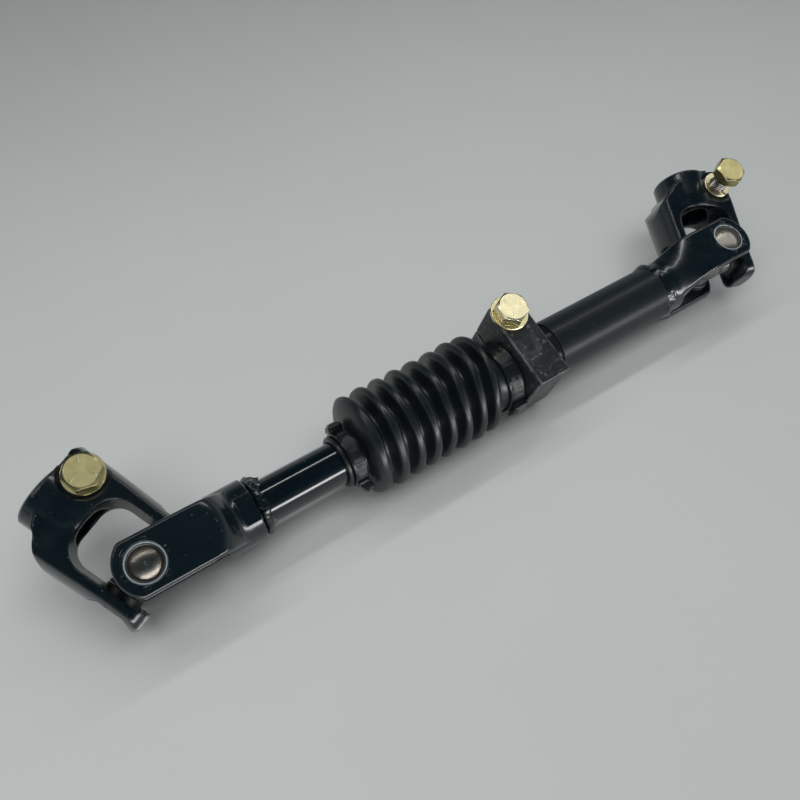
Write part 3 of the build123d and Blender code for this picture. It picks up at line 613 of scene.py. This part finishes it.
# (x, r) up the small cuff to the first fold
SMALL_CUFF = [
    (81.7, 9.15), (81.5, 9.6), (81.45, 10.6), (81.8, 11.05), (82.5, 11.15), (83.1, 10.9),
    (83.4, 10.6), (86.5, 10.5), (89.8, 10.55), (90.4, 10.9), (90.7, 12.2), (90.9, 14.0),
    (91.2, 16.2), (91.6, 18.2), (92.2, 19.7), (93.1, 20.7)]
# (x past the last fold, r) down its far side
LAST_FLANK = [(1.0, 20.6), (1.9, 19.6), (2.6, 18.3), (3.1, 16.8), (3.5, 15.4)]
# (x, r) along the large cuff
LARGE_CUFF = [
    (156.3, 14.7), (157.4, 14.35), (159.2, 14.2), (163.2, 14.2), (167.2, 14.2), (167.5, 14.25),
    (168.0, 14.25), (168.35, 13.9), (168.35, 12.7), (168.2, 12.28)]


def boot_outer_wall():
    points = list(SMALL_CUFF)
    last = len(CREST_RADII) - 1
    for k, crest in enumerate(CREST_RADII):
        half = (crest - VALLEY_RADIUS) / 2
        middle = (crest + VALLEY_RADIUS) / 2 + 0.10 * half
        first_step = 0 if k == 0 else -FOLD_STEPS // 2 + 1
        last_step = 0 if k == last else FOLD_STEPS // 2
        for step in range(first_step, last_step + 1):
            turn = 2 * math.pi * step / FOLD_STEPS
            # the second harmonics shape the crests and valleys
            wave = math.cos(turn) - 0.10 * math.cos(2 * turn)
            shift = step / FOLD_STEPS + 0.62 * math.sin(2 * turn) / (4 * math.pi)
            points.append((FIRST_FOLD + FOLD_PITCH * k + FOLD_PITCH * shift,
                           middle + half * wave))
    points += [(LAST_FOLD + past, r) for past, r in LAST_FLANK]
    return points + LARGE_CUFF


def boot_inner_wall(outer):
    points = []
    for x, r in outer[4:-4]:
        least = 9.08 if x < 91.2 else 12.25 if x > 157.0 else 9.6
        inner_x = x
        if x < 92.6:
            inner_x += END_INSET
        if x > LAST_FOLD + 0.5:
            inner_x -= END_INSET
        if 82.0 < inner_x < 168.0:
            points.append((inner_x, max(least, r - INNER_INSET)))
    return sorted(points, key=lambda point: point[0])


def boot_point(station, angle):
    """The folds between the cuffs tilt, sit high and wander a little."""
    x, r = station
    free = smooth(90.8, 94.5, x) * (1 - smooth(LAST_FOLD + 2.0, 158.0, x))
    tilt = 2.9 * smooth(88.0, LAST_FOLD + 6, x) * free
    c, s = math.cos(angle), math.sin(angle)
    wobble = noise.noise(Vector((x * 0.11, c * 1.3, s * 1.3))) * 0.55 * free
    sway = noise.noise(Vector((x * 0.07 + 9, c * 1.1, s * 1.1))) * 0.9 * free
    return on_axis(x + tilt * c + sway, r + wobble, angle, lift=1.75 * free)


def build_boot():
    material = rubber("boot_rubber", rough=(0.34, 0.43), base=(0.0022, 0.0038, 0.0044), dust=0.7,
                      streaks=True)
    outer = boot_outer_wall()
    loop = outer + boot_inner_wall(outer)[::-1]
    boot = ring_sweep("rubber_bellows", loop, boot_point, BOOT_TURNS, material)
    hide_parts("bellows_boot")
    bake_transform(boot)


build_boot()

# ------------------------------------------------------------------ cable ties
STRAP_TURNS = 720
STRAP_BORDER = 0.7
TOOTH_HEIGHT = 0.20
SMALL_TIE = ("small_cable_tie", "black_nylon", "shaft_body")
LARGE_TIE = ("large_cable_tie", "black_nylon", "tube_body")
tie_nylon = nylon("tie_nylon")


def strap(name, tie, ends, radii, teeth_arc, teeth):
    """Flat strap with raised borders and ratchet teeth over an arc in degrees."""
    start, end = ends
    r_in, r_out = radii
    arc_from, arc_to = teeth_arc
    width = end - start
    border = STRAP_BORDER
    # (mm across, share of the thickness)
    section = [
        (0, 0.10), (0, 0.62), (0.10, 0.86), (0.30, 1.0), (border, 1.0), (border + 0.12, 0.86),
        (width * 0.35, 0.86), (width * 0.5, 0.86), (width * 0.65, 0.86),
        (width - border - 0.12, 0.86), (width - border, 1.0), (width - 0.30, 1.0),
        (width - 0.10, 0.86), (width, 0.62), (width, 0.10), (width - 0.12, 0.0),
        (width * 0.5, 0.0), (0.12, 0.0)]
    profile = [(start + across, r_in + (r_out - r_in) * height,
                border < across < width - border and height > 0)
               for across, height in section]

    def place(station, angle):
        x, r, toothed = station
        degrees = math.degrees(angle) % 360
        if toothed and arc_from <= degrees <= arc_to:
            tooth = (degrees - arc_from) / (arc_to - arc_from) * teeth
            r += TOOTH_HEIGHT * (tooth % 1.0)
        return on_axis(x, r, angle)

    attach(ring_sweep(name, profile, place, STRAP_TURNS, tie_nylon), *tie)


def rounded_box(bm, centre, axes, size, rounding, segments):
    """Add a box with rounded edges; sizes in mm along the three unit axes."""
    earlier = set(bm.verts)
    corners = bmesh.ops.create_cube(bm, size=1.0)["verts"]
    for v in corners:
        v.co = Vector([c * length for c, length in zip(v.co, size)])
    edges = list({e for v in corners for e in v.link_edges})
    bmesh.ops.bevel(bm, geom=edges, offset=rounding, segments=segments, profile=0.5,
                    affect="EDGES")
    for v in bm.verts:
        if v not in earlier:
            x, y, z = v.co
            v.co = centre + (axes[0] * x + axes[1] * y + axes[2] * z) * MM


def seat_axes(degrees):
    """Along the shaft, round it and out from it."""
    radial = radial_at(math.radians(degrees))
    return ALONG, ALONG.cross(radial), radial


def seated(degrees, x, r, shift, size, rounding, segments):
    """A box square to the strap, shifted round it by shift mm."""
    axes = seat_axes(degrees)
    centre = on_axis(x, r, math.radians(degrees)) + axes[1] * shift * MM
    return centre, axes, size, rounding, segments


def box_piece(name, tie, boxes):
    bm = bmesh.new()
    for box in boxes:
        rounded_box(bm, *box)
    mesh = bpy.data.meshes.new(name)
    bm.to_mesh(mesh)
    bm.free()
    attach(smooth_object(name, mesh, tie_nylon), *tie)


def tail_boxes(degrees=163):
    """The cut tail standing off the strap: blade, root, then the blade's ratchet teeth."""
    along, around, radial = seat_axes(degrees)
    tilted = (radial * 0.86 + along * 0.34 + around * 0.38).normalized()
    thickness = along.cross(tilted).normalized()
    axes = (tilted.cross(thickness).normalized(), thickness, tilted)
    centre = on_axis(87.0, 13.6, math.radians(degrees))
    boxes = [(centre, axes, (4.7, 1.5, 5.6), 0.4, 3),
             seated(degrees, 86.6, 12.2, 0, (5.2, 4.4, 1.4), 0.4, 2)]
    for k in range(5):
        tooth = centre + tilted * (-1.9 + 0.85 * k) * MM + thickness * 0.78 * MM
        boxes.append((tooth, axes, (3.2, 0.4, 0.42), 0.12, 1))
    return boxes


# heads: x, r, shift, size, rounding, segments for the head, its locking bar and strap guide
SMALL_HEAD = [
    (86.7, 13.0, 0, (6.2, 6.2, 3.8), 1.5, 5),
    (86.7, 14.9, 0, (3.8, 3.8, 0.8), 0.35, 2),
    (87.0, 12.4, -4.6, (5.4, 3.0, 1.7), 0.45, 2)]
LARGE_HEAD = [
    (163.2, 16.8, 0, (7.2, 7.2, 3.8), 1.0, 4),
    (163.2, 18.6, 0, (4.6, 4.6, 0.9), 0.35, 2),
    (163.2, 16.3, 5.4, (5.6, 3.6, 1.6), 0.45, 2)]

strap("small_tie_strap", SMALL_TIE, ends=(83.6, 89.4), radii=(10.72, 11.9),
      teeth_arc=(40, 170), teeth=70)
box_piece("small_tie_head", SMALL_TIE, [seated(6, *row) for row in SMALL_HEAD])
box_piece("small_tie_tail", SMALL_TIE, tail_boxes())
strap("large_tie_strap", LARGE_TIE, ends=(159.4, 166.9), radii=(14.42, 15.6),
      teeth_arc=(10, 150), teeth=90)
box_piece("large_tie_head", LARGE_TIE, [seated(160, *row) for row in LARGE_HEAD])

# ------------------------------------------------------------------ weld beads
WELD_TURNS = 288
# bead sections: x, r, how freely the point wanders
LOWER_BEAD = [
    (43.45, 8.6, 0), (43.5, 10.0, 0.1), (43.9, 10.5, 0.3), (44.3, 11.5, 0.6), (45.0, 12.1, 0.9),
    (46.0, 12.15, 1), (46.9, 11.6, 1), (47.6, 10.7, 1), (48.1, 9.9, 1), (48.5, 9.35, 1.2),
    (49.0, 9.08, 1.3), (49.2, 8.6, 0)]
UPPER_BEAD = [
    (257.2, 12.4, 0), (257.5, 12.74, 0.7), (258.1, 13.0, 1), (258.9, 13.4, 1), (259.9, 13.6, 1),
    (260.7, 13.55, 1), (261.4, 13.2, 0.8), (261.9, 12.8, 0.4), (262.0, 12.4, 0)]
weld_black = weld_paint("weld_paint")


def weld(name, profile, ripples, seed, body, node, roughness):
    """Rippled bead round the shaft, never thinner than its first point's radius."""
    rnd = random.Random(seed)
    draws = ripples + 2
    for _ in range(draws):
        rnd.uniform(-0.35, 0.35)    # passed over: the ripple sizes are the second run of draws
    ripple_size = [rnd.uniform(0.7, 1.3) for _ in range(draws)]
    least = profile[0][1]

    def place(station, angle):
        x, r, free = station
        turn = angle / (2 * math.pi) * ripples
        size = ripple_size[int(turn) % ripples]
        lobe = abs(math.sin(math.pi * turn))

        def wander(around, along):
            return noise.noise(Vector((math.cos(angle) * around + seed,
                                       math.sin(angle) * around, x * along)))

        coarse = wander(around=2.6, along=0.35)
        fine = wander(around=9, along=1.1)
        tiny = wander(around=21, along=2.0)
        out = (lobe ** 0.6 - 0.6) * 0.14 * size + coarse * 0.95 + fine * 0.24
        shift = coarse * 1.1 + fine * 0.6 + tiny * 0.35 + (lobe - 0.5) * 0.10 * size
        return on_axis(x + free * shift * roughness, max(r + free * out * roughness, least), angle)

    attach(ring_sweep(name, profile, place, WELD_TURNS, weld_black), node, "weld_bead", body)


weld("lower_weld_bead", LOWER_BEAD, ripples=22, seed=4, body="shaft_body",
     node="lower_shaft_weld", roughness=1.0)
weld("upper_weld_bead", UPPER_BEAD, ripples=30, seed=11, body="tube_body",
     node="upper_shaft_weld", roughness=0.8)


# ------------------------------------------------------------------ floor
def build_floor(half=3.0):
    """Square sheet under the lowest point of the part."""
    z = min(corner[2] for corner in cad_box)
    mesh = bpy.data.meshes.new("floor")
    mesh.from_pydata([(-half, -half, z), (half, -half, z), (half, half, z), (-half, half, z)],
                     [], [(0, 1, 2, 3)])
    made = bpy.data.objects.new("floor", mesh)
    scene.collection.objects.link(made)
    mesh.materials.append(floor_sheet("floor_sheet"))
    return made


floor = build_floor()

# ------------------------------------------------------------------ world
# reflected sky: height up the sky, colour
SKY_ENDS = [(0.0, (0.20, 0.25, 0.27)), (1.0, (0.012, 0.030, 0.042))]
SKY_BETWEEN = [(0.10, (0.42, 0.47, 0.49)), (0.34, (0.10, 0.15, 0.17)),
               (0.62, (0.020, 0.042, 0.055))]
AMBIENT = (0.23, 0.240, 0.240, 1)
BACKDROP = (0.42, 0.435, 0.435, 1)


def build_world():
    """Graded sky for reflections, plain grey for ambient light and for the camera."""
    world = bpy.data.worlds.new("studio")
    scene.world = world
    world.use_nodes = True
    tree = world.node_tree
    link = tree.links.new
    background = tree.nodes["Background"]
    path = tree.nodes.new("ShaderNodeLightPath")
    coords = tree.nodes.new("ShaderNodeTexCoord")
    split = tree.nodes.new("ShaderNodeSeparateXYZ")
    link(coords.outputs["Generated"], split.inputs[0])
    sky = tree.nodes.new("ShaderNodeValToRGB")
    link(split.outputs[2], sky.inputs[0])
    elements = sky.color_ramp.elements
    for element, (height, colour) in zip(elements, SKY_ENDS):
        element.position = height
        element.color = (*colour, 1)
    for height, colour in SKY_BETWEEN:
        elements.new(height).color = (*colour, 1)
    ambient = tree.nodes.new("ShaderNodeMix")
    ambient.data_type = "RGBA"
    link(path.outputs["Is Glossy Ray"], ambient.inputs[0])
    ambient.inputs[6].default_value = AMBIENT
    link(sky.outputs[0], ambient.inputs[7])
    seen = tree.nodes.new("ShaderNodeMix")
    seen.data_type = "RGBA"
    link(path.outputs["Is Camera Ray"], seen.inputs[0])
    link(ambient.outputs[2], seen.inputs[6])
    seen.inputs[7].default_value = BACKDROP
    link(seen.outputs[2], background.inputs[0])
    background.inputs[1].default_value = 1.0


build_world()


# ------------------------------------------------------------------ lights
def pose(x, y, z, position):
    matrix = Matrix((x, y, z)).transposed().to_4x4()
    matrix.translation = position
    return matrix


def panel(name, offset, length, width, radiance):
    """Area light at an offset in metres from the shaft's middle, facing it."""
    light = bpy.data.lights.new(name, "AREA")
    light.shape = "RECTANGLE"
    light.size, light.size_y = length, width
    light.energy = radiance * math.pi * length * width
    made = bpy.data.objects.new(name, light)
    centre = MIDDLE + Vector(offset)
    z = (centre - MIDDLE).normalized()
    x = (ALONG - z * ALONG.dot(z)).normalized()
    made.matrix_world = pose(x, z.cross(x), z, centre)
    scene.collection.objects.link(made)
    return made


def light_only(light, name, lit):
    """Limit a light to the given objects."""
    group = bpy.data.collections.new(name)
    for piece in lit:
        group.objects.link(piece)
    light.light_linking.receiver_collection = group


BRIGHT_METAL = ("lower_pinch_bolt", "lower_pinch_washer", "upper_pinch_bolt", "upper_lock_washer",
                "clamp_bolt", "clamp_washer", "upper_shaft_cups")

panel("strip_top", offset=(0.0, 0.16, 0.50), length=1.3, width=0.036, radiance=8.5)
front = panel("strip_front", offset=(0.0, -0.62, 0.04), length=1.3, width=0.12, radiance=10.0)
roof = panel("roof", offset=(-0.15, -0.25, 0.78), length=1.1, width=0.42, radiance=3.15)
roof.visible_glossy = False
light_only(front, "part_only", [o for o in bpy.data.objects if o.type == "MESH" and o != floor])
sheet = panel("metal_sheet", offset=(0.40, -0.16, 0.80), length=2.6, width=0.90, radiance=1.05)
light_only(sheet, "bright_metal", [frame["nodes"][name] for name in BRIGHT_METAL])

# ------------------------------------------------------------------ camera
CAMERA_OFFSET = Vector((-4.302, -169.038, 261.950))     # mm from the lower joint
CAMERA_RIGHT = Vector((0.82310635, -0.56788725, 0))
CAMERA_UP = Vector((0.43408068, 0.62916461, 0.64476807))
CAMERA_BACK = Vector((-0.36615557, -0.53071269, 0.76437827))

lens = bpy.data.cameras.new("camera")
camera = bpy.data.objects.new("camera", lens)
scene.collection.objects.link(camera)
scene.camera = camera
lens.sensor_width = 36
lens.lens = 36.0
lens.clip_start = 0.01
camera.matrix_world = pose(CAMERA_RIGHT, CAMERA_UP, CAMERA_BACK, LOWER_JOINT + CAMERA_OFFSET * MM)

scene.view_settings.view_transform = "Standard"
scene.view_settings.look = "None"
